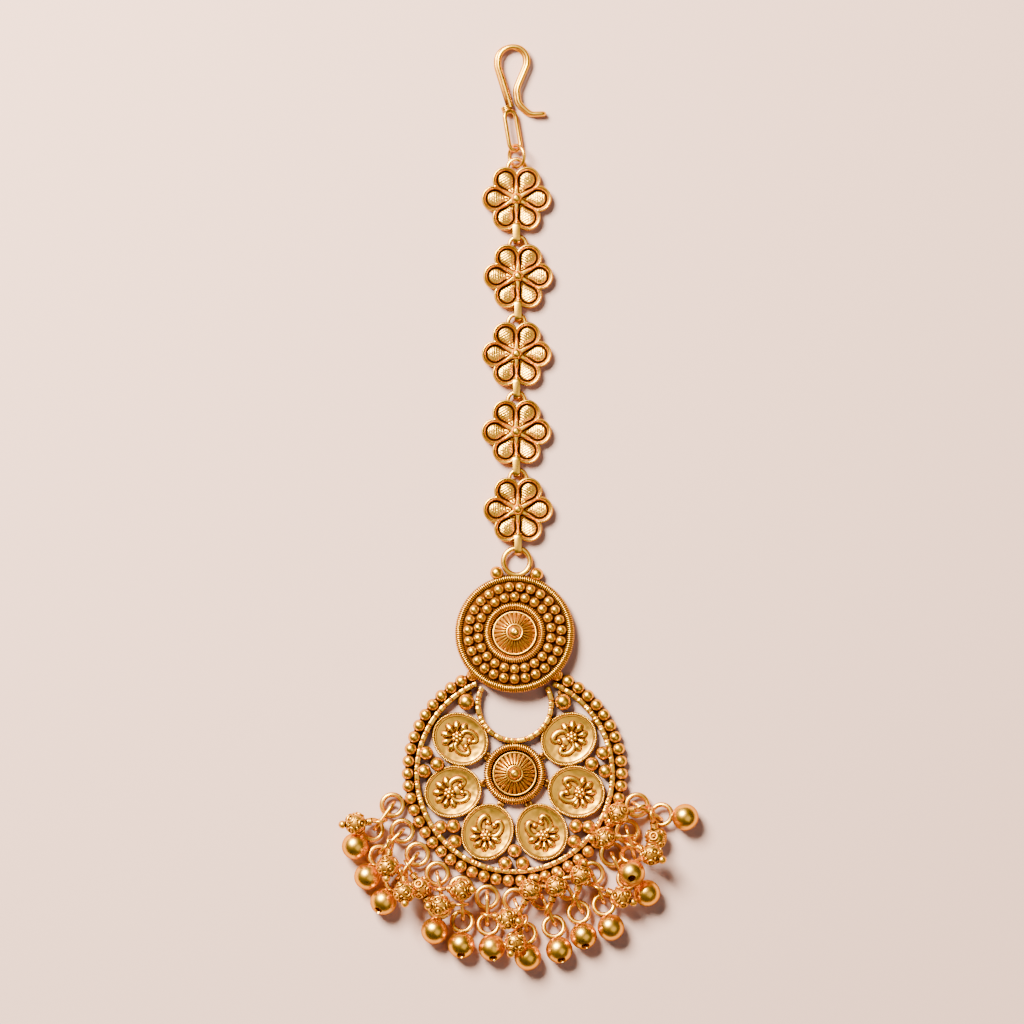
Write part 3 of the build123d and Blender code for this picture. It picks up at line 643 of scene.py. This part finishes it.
# %% [markdown]
# ## Drops
# A loose oval link hangs in each edge ring, and a hollow plain ball hangs in the link by a ring
# soldered to its top. The ball is raised from thin sheet and left with a round hole, a little to one
# side of its bottom. It is a sphere cut by a plane and given a wall, so the hole shows its edge.
# Each row of the table is one hanging: which ring it is in, where its link points
# and how far it reaches, how far along the link and how high the ball's ring grips, where the ball
# points, how it is rolled (nought shows the hole, 180 hides it) and how high its middle rests.

# %% Links and plain drops
Hang = namedtuple("Hang", "ring link reach grip level ball turn rest")
HANGS = (
    Hang(6, 60, 1.75, 0.8, 1.1, 84, 180, 2.0),
    Hang(5, 15, 1.65, 0.8, 1.6, 0, 0, 4.8),
    Hang(4, 25, 2.2, 0.8, 1.1, 52, 180, 2.0),
    Hang(3, 22, 2.2, 1.3, 1.1, 17, 180, 2.0),
    Hang(2, 30, 1.65, 0.9, 1.1, 11, 0, 2.0),
    Hang(1, 25, 2.1, 1.2, 1.1, 13, 0, 2.0),
    Hang(0, 22, 2.4, 1.4, 1.1, 6, 180, 2.0),
    Hang(-1, 0, 1.7, 0.9, 1.1, 8, 0, 2.0),
    Hang(-2, 4, 2.2, 1.3, 1.1, -2, 0, 2.0),
    Hang(-3, 10, 2.3, 1.4, 1.1, -12, 180, 2.0),
    Hang(-4, -40, 2.3, 1.4, 1.1, -32, 0, 2.0),
    Hang(-5, -46, 2.2, 1.4, 1.1, -31, 180, 2.0),
    Hang(-6, -36, 2.0, 1.3, 1.1, -46, 180, 2.0),
)
LINK_HALF, LINK_BEND, LINK_WIRE, LINK_LEVEL = 1.2, 1.3, 0.28, 1.58
BALL_RADIUS, BALL_WALL, BALL_RING_AT, BALL_RING = 2.0, 0.3, 3.6, 1.5
BALL_HOLE, BALL_HOLE_LIFT = 0.65, 25


def hung(grip, distance, heading, rest):
    """Where the middle of a drop lies, and the way from it to the point its ring grips."""
    rise = degrees(asin((grip.z - rest) / distance))
    way = (lying(Vector(), heading + 180, rise, 0).to_3x3() @ Vector((1, 0, 0))).normalized()
    return grip - way * distance, way


def link_seat(hang):
    middle = ahead(hang.ring * RING_PITCH) * RING_ORBIT + ahead(hang.link) * hang.reach
    return lying(middle + UP * LINK_LEVEL, hang.link, 0, 0)


def ball_seat(hang):
    grip = link_seat(hang) @ Vector((hang.grip, 0, 0)) + UP * (hang.level - LINK_LEVEL)
    middle, way = hung(grip, BALL_RING_AT + BALL_RING, hang.ball, hang.rest)
    return lying(middle, hang.ball + 180, degrees(asin(way.z)), hang.turn)


def hollow_ball():
    """A thin-walled ball, cut open where its hole is."""
    metal = bmesh.new()
    bmesh.ops.create_uvsphere(metal, u_segments=44, v_segments=30, radius=BALL_RADIUS)
    everything = metal.verts[:] + metal.edges[:] + metal.faces[:]
    mouth = UP * sqrt(BALL_RADIUS ** 2 - BALL_HOLE ** 2)
    bmesh.ops.bisect_plane(metal, geom=everything, plane_co=mouth, plane_no=UP, clear_outer=True)
    bmesh.ops.transform(metal, matrix=turned(BALL_HOLE_LIFT - 90, "Y"), verts=metal.verts)
    bmesh.ops.solidify(metal, geom=metal.faces[:], thickness=BALL_WALL)
    bmesh.ops.recalc_face_normals(metal, faces=metal.faces)
    return made(metal)


oval_link = wire(oval(LINK_HALF, LINK_BEND), LINK_WIRE, closed=True)
links = gathered([(oval_link, link_seat(hang)) for hang in HANGS])
plain_drop = gathered([
    (hollow_ball(), Matrix()),
    (ring(BALL_RING, 0.375), at(BALL_RING_AT, 0)),
    (ring(0.62, 0.1, 28, 8), at(1.93, 0) @ turned(90, "Y")),
])
print("a plain drop is", 2 * BALL_RADIUS, "mm across with walls of", BALL_WALL, "mm")

# %% [markdown]
# Smaller beads hang between the plain ones. Each is embossed with little bosses, a dot inside a
# ring with seeds round it, and has a ball at its tip, a neck bound with wire and a thin eye. The
# bosses break up the bead's outline, so they are real shapes and no mere shading.
# The table gives the ring whose link it hangs in, how far along the link's wire its eye sits, the
# bead's heading and how high its middle rests.

# %% Embossed drops
Dangle = namedtuple("Dangle", "ring along bead rest")
DANGLES = (
    Dangle(6, -0.9, -76, 3.9),
    Dangle(6, 0.9, 8, 1.7),
    Dangle(5, -0.8, -86, 4.0),
    Dangle(5, 0.25, 62, 4.4),
    Dangle(3, 0.0, 67, 3.3),
    Dangle(2, 0.3, 166, 3.8),
    Dangle(1, 0.0, 161, 3.8),
    Dangle(0, -0.5, 153, 3.8),
    Dangle(0, 0.9, -20, 4.5),
    Dangle(-1, 0.9, 78, 5.0),
    Dangle(-2, 0.3, -88, 4.8),
    Dangle(-3, 0.0, 88, 4.9),
    Dangle(-4, -0.1, 30, 2.5),
    Dangle(-4, 0.9, 3, 4.9),
    Dangle(-5, 0.2, -6, 4.1),
    Dangle(-6, 0.9, -84, 3.5),
)
BEAD_RADIUS, BEAD_GRIP = 1.55, 3.8
BEAD_BOSSES = ((60, (0, 90, 180, 270)), (125, (45, 135, 225, 315)))


def bead_seat(dangle):
    """The eye of a bead faces along the wire that it hangs on."""
    oval_seat = link_seat(next(hang for hang in HANGS if hang.ring == dangle.ring))
    side = 1 if dangle.along > 0 else -1
    swing = max(0.0, abs(dangle.along) - LINK_HALF) / LINK_BEND
    reach = min(abs(dangle.along), LINK_HALF) + LINK_BEND * sin(swing)
    grip = oval_seat @ Vector((side * reach, 0, LINK_BEND * cos(swing)))
    along_wire = oval_seat.to_3x3() @ Vector((side * cos(swing), 0, -sin(swing)))
    middle, way = hung(grip, BEAD_GRIP, dangle.bead, dangle.rest)
    return seat(middle, way, along_wire - way * along_wire.dot(way))


def bead_boss(lift, turn):
    """Ring, dot and surrounding seeds, raised on the bead's surface."""
    spot = turned(turn, "X") @ turned(lift + 90, "Y") @ at(0, 0, BEAD_RADIUS)
    seeds_round = [(seed, spot @ turned(45 + 90 * k) @ at(0.98, 0, -0.36) @ Matrix.Scale(0.16, 4))
                   for k in range(4)]
    return [(ring(0.56, 0.15, 24, 8), spot @ at(0, 0, -0.06)),
            (ball(0.27, 12), spot @ at(0, 0, -0.1)), *seeds_round]


neck_wrap = [Vector((point.z, point.x, point.y)) for point in winding(0.46, 1.55, 2.4, 60)]
bead = gathered([
    (ball(BEAD_RADIUS, 34), turned(90, "Y")),
    *[part for lift, turns in BEAD_BOSSES for turn in turns for part in bead_boss(lift, turn)],
    (ball(0.62, 18), at(-2.0, 0)),
    (ring(0.52, 0.12, 28, 8), at(-1.42, 0) @ turned(90, "Y")),
    (plate(0.4, 0.0, 2.4, 18), turned(90, "Y")),
    (wire(neck_wrap, 0.14), Matrix()),
    (ring(1.05, 0.22, 36, 10), at(3.6, 0)),
])
print("one embossed bead has", len(bead.polygons), "faces")

# %% [markdown]
# ## Patina and painted shade
# Dark patina gathers wherever a polishing cloth can't reach. Short feelers are sent out from every
# point of a finished part, and the more of them that strike metal close by, the deeper the point
# lies in a valley. Sharp grooves and places below the polished level darken further, and sharp
# ridges lighten. Side faces are darkened as well, as painted shade for the dark edges that
# reflections leave on rounded metal, and this shade is kept in the same reading as the patina. A
# shader could look for crevices by itself, but measured once and kept with the metal the answer is
# the same from every side.

# %% Patina and painted side shade
FEELERS = 26
GROOVE_SHARE, GROOVE_MOST, RIDGE_MOST = 0.05, 0.3, 0.12
# The side share is painted shade: side faces darken for the dark edges that reflections leave on
# rounded metal.
SIDE_SHADE_SHARE, LOW_SHARE = 0.5, 0.3
feeler_ways = []
for k in range(FEELERS):
    height = 1 - (2 * k + 1) / FEELERS
    swing = k * pi * (3 - sqrt(5))
    level = sqrt(1 - height * height)
    feeler_ways.append(Vector((level * cos(swing), level * sin(swing), height)))


def buried(tree, place, normal, reach):
    """Share of the feelers that strike metal, nearer strikes counting more."""
    struck = felt = 0.0
    for way in feeler_ways:
        facing = way.dot(normal)
        if facing > 0.15:
            felt += facing
            hit = tree.ray_cast(place + normal * 0.02, way, reach)
            if hit[0] is not None:
                struck += facing * (1 - 0.6 * hit[3] / reach)
    return struck / felt if felt else 0.0


def hollowness(shape):
    """How sharply the metal is hollowed at each point: above nought in grooves, below on ridges."""
    metal = bmesh.new()
    metal.from_mesh(shape)
    found = []
    for vertex in metal.verts:
        spans = [edge.other_vert(vertex).co - vertex.co for edge in vertex.link_edges]
        bends = [2 * span.dot(vertex.normal) / max(span.length_squared, 1e-6) for span in spans]
        found.append(sum(bends) / max(len(bends), 1))
    metal.free()
    return found


def lay_patina_and_shade(shapes, reach=1.6, polished=-9.0):
    """Darkens shapes that lie together in their hollows and, as painted shade, on their side faces;
    darker below the polished level if one is given.
    """
    corners, faces = [], []
    for shape in shapes:
        first = len(corners)
        corners += [vertex.co.copy() for vertex in shape.vertices]
        faces += [[first + corner for corner in face.vertices] for face in shape.polygons]
    tree = BVHTree.FromPolygons(corners, faces)
    for shape in shapes:
        # Patina in the hollows and painted shade on the side faces are summed into one reading.
        depth = [buried(tree, vertex.co, vertex.normal, reach)
                 + min(GROOVE_MOST, max(-RIDGE_MOST, GROOVE_SHARE * hollow))
                 + SIDE_SHADE_SHARE * (1 - abs(vertex.normal.z)) ** 2
                 + LOW_SHARE * max(0.0, polished - vertex.co.z)
                 for vertex, hollow in zip(shape.vertices, hollowness(shape))]
        shape.attributes.new("patina_and_side_shade", "FLOAT", "POINT").data.foreach_set("value", depth)


medallion.transform(medallion_seat)
soldered = [crescent, balls, rosette, discs, medallion, edge_rings, solder_and_loop]
lay_patina_and_shade(soldered, polished=1.5)
lay_patina_and_shade([links], polished=2.3)
for loose in (hook, hook_ring, flower, plain_drop, bead):
    lay_patina_and_shade([loose])
print("patina laid on", sum(len(shape.vertices) for shape in soldered), "points of the pendant")

# %% [markdown]
# ## Finish
# The metal is one alloy throughout, a warm old gold. Polished high parts are pale and bright, the
# valleys are almost black-brown, and in between lies a reddish tarnish. Side faces are darkened the
# same way, as painted shade. The small class lets a finish be written as sums on its signals rather
# than as a list of nodes.

# %% Signals
class Signal:
    """One output of the finish, which can be added, multiplied and fed onwards."""

    def __init__(self, socket):
        self.socket = socket

    @staticmethod
    def maths(operation, first, second):
        return Signal.node("Math", {"operation": operation}, first, second)

    def __add__(self, other):
        return self.maths("ADD", self, other)

    def __sub__(self, other):
        return self.maths("SUBTRACT", self, other)

    def __rsub__(self, other):
        return self.maths("SUBTRACT", other, self)

    def __mul__(self, other):
        return self.maths("MULTIPLY", self, other)

    def __pow__(self, other):
        return self.maths("POWER", self, other)

    __radd__ = __add__
    __rmul__ = __mul__

    @staticmethod
    def node(kind, settings, *sockets, out=0, **named):
        made_node = finish_tree.nodes.new("ShaderNode" + kind)
        for setting, value in settings.items():
            setattr(made_node, setting, value)
        by_name = [(name.replace("_", " "), value) for name, value in named.items()]
        for where, value in [*enumerate(sockets), *by_name]:
            if isinstance(value, Signal):
                finish_tree.links.new(value.socket, made_node.inputs[where])
            elif value is not None:
                made_node.inputs[where].default_value = value
        return Signal(made_node.outputs[out]) if made_node.outputs else None


def blended(amount, low, high):
    """Colour between two others."""
    mix = {"data_type": "RGBA", "blend_type": "MIX", "clamp_factor": True}
    return Signal.node("Mix", mix, amount, None, None, None, None, None, low, high, out=2)


print("signals can be summed, scaled and raised to a power")

# %% [markdown]
# The reading of patina and painted side shade is sharpened, broken up a little by a soft cloudiness,
# and used three times: to darken the colour, to dull the shine and to thin the metal's reflection.
# A very fine grain keeps the surface from looking moulded.

# %% Antique gold
gold = bpy.data.materials.new("antique_gold")
gold.use_nodes = True
finish_tree = gold.node_tree
finish_tree.nodes.clear()
place = Signal.node("TexCoord", {}, out=3)
cloud = Signal.node("TexNoise", {}, Vector=place, Scale=420.0, Detail=3.0, Roughness=0.6)
grain = Signal.node("TexNoise", {}, Vector=place, Scale=3600.0, Detail=2.0, Roughness=0.6)
# This reading holds patina in the hollows and painted shade on the side faces.
depth = Signal.node("Attribute", {"attribute_name": "patina_and_side_shade"}, out=2)
patina_and_shade_cover = Signal.node("Clamp", {}, (depth - 0.12) * 2.0 + (cloud - 0.5) * 0.45)
tarnish_and_shade = blended(patina_and_shade_cover, (0.95, 0.49, 0.045, 1), (0.46, 0.125, 0.008, 1))
colour = blended(patina_and_shade_cover ** 2.4, tarnish_and_shade, (0.045, 0.01, 0.001, 1))
dullness = 0.29 + patina_and_shade_cover * 0.26 + (cloud - 0.5) * 0.14
surface = Signal.node("Bump", {}, Height=grain + cloud * 0.6, Strength=0.22, Distance=0.00003)
shell = Signal.node("BsdfPrincipled", {}, Base_Color=colour, Roughness=dullness,
                    Metallic=1 - patina_and_shade_cover ** 1.6 * 0.4, Specular_IOR_Level=0.15,
                    Specular_Tint=(0.8, 0.36, 0.06, 1), Normal=surface)
Signal.node("OutputMaterial", {}, Surface=shell)
print("finish", gold.name, "has", len(finish_tree.nodes), "nodes")

# %% [markdown]
# ## Laying it out
# Each finished part is turned from millimetres to metres, smoothed except at its sharp corners, given
# the finish and hung under the root, and the engineering part it stands for, where it has one, is
# hidden. Flowers and drops are copies of one part, set in their own places.

# %% Laying out
def laid(name, shape, *stands_for, place=Matrix()):
    shape = shape.copy()
    shape.transform(TO_ROW @ place)
    shape.name = name
    shape.shade_smooth()
    shape.set_sharp_from_angle(angle=radians(55))
    shape.materials.clear()
    shape.materials.append(gold)
    piece = bpy.data.objects.new(name, shape)
    bpy.context.scene.collection.objects.link(piece)
    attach(piece, "root")
    if stands_for:
        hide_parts(*stands_for)


laid("gold_hook", hook, "hook")
laid("gold_hook_ring", hook_ring, "hook_ring")
laid("gold_crescent", crescent, "pendant")
for name, shape in (("gold_balls", balls), ("gold_rosette", rosette), ("gold_discs", discs),
                    ("gold_medallion", medallion), ("gold_edge_rings", edge_rings),
                    ("gold_solder_and_loop", solder_and_loop)):
    laid(name, shape)
for number, (x, y) in enumerate(FLOWER_PLACES, start=1):
    laid(f"gold_flower_{number}", flower, f"flower_link_{number}", place=at(x, y))
laid("gold_links", links, "drop_links")
for number, hang in enumerate(HANGS, start=1):
    laid(f"gold_plain_drop_{number:02d}", plain_drop, f"large_drop_{number:02d}", place=ball_seat(hang))
for number, dangle in enumerate(DANGLES, start=1):
    laid(f"gold_embossed_drop_{number:02d}", bead, f"small_drop_{number:02d}", place=bead_seat(dangle))

# %% [markdown]
# ## Table and light
# The ornament lies on a pale matt cloth under one broad soft light from the upper left and a weaker
# one from the lower right, in a room that is almost dark. A brighter room would fill the hollows.

# %% Table and light
cloth_metal = bmesh.new()
bmesh.ops.create_grid(cloth_metal, x_segments=2, y_segments=2, size=1.5)
cloth_shape = made(cloth_metal)
cloth = bpy.data.objects.new("cloth", cloth_shape)
bpy.context.scene.collection.objects.link(cloth)
linen = bpy.data.materials.new("linen")
linen.use_nodes = True
finish_tree = linen.node_tree
finish_tree.nodes.clear()
linen_finish = Signal.node("BsdfPrincipled", {}, Base_Color=(0.60, 0.385, 0.36, 1), Roughness=0.9)
Signal.node("OutputMaterial", {}, Surface=linen_finish)
cloth_shape.materials.append(linen)

middle = Vector((compass_x - 0.0004, compass_y + 0.03925, 0.001))


def softbox(name, offset, size, power, tint):
    lamp = bpy.data.lights.new(name, "AREA")
    lamp.size, lamp.energy, lamp.color = size, power, tint
    stand = bpy.data.objects.new(name, lamp)
    stand.location = middle + Vector(offset)
    stand.rotation_euler = (-Vector(offset)).to_track_quat("-Z", "Y").to_euler()
    bpy.context.scene.collection.objects.link(stand)


softbox("window", (-0.24, 0.28, 0.44), 0.24, 23.0, (1.0, 0.955, 0.74))
softbox("bounce", (0.30, -0.20, 0.60), 0.5, 1.0, (1.0, 0.93, 0.78))
room = bpy.data.worlds.new("room")
room.use_nodes = True
room.node_tree.nodes["Background"].inputs["Color"].default_value = (0.95, 0.88, 0.78, 1)
room.node_tree.nodes["Background"].inputs["Strength"].default_value = 0.05
bpy.context.scene.world = room
print("cloth and", len(bpy.data.lights), "lights in place")

# %% [markdown]
# ## Camera
# The camera looks almost straight down from a little below the crescent, far enough away that the
# whole length is seen without stretching.

# %% Camera
SIGHT_FAR, SIGHT_WIDE, SIGHT_RISE, SENSOR = 1.2, 0.1536, 87, 36
lens = bpy.data.cameras.new("view")
lens.sensor_width, lens.lens = SENSOR, SENSOR * SIGHT_FAR / SIGHT_WIDE
camera = bpy.data.objects.new("view", lens)
sight = Vector((0, -cos(radians(SIGHT_RISE)), sin(radians(SIGHT_RISE))))
camera.location = middle + sight * SIGHT_FAR
camera.rotation_euler = (middle - camera.location).to_track_quat("-Z", "Y").to_euler()
bpy.context.scene.collection.objects.link(camera)
bpy.context.scene.camera = camera
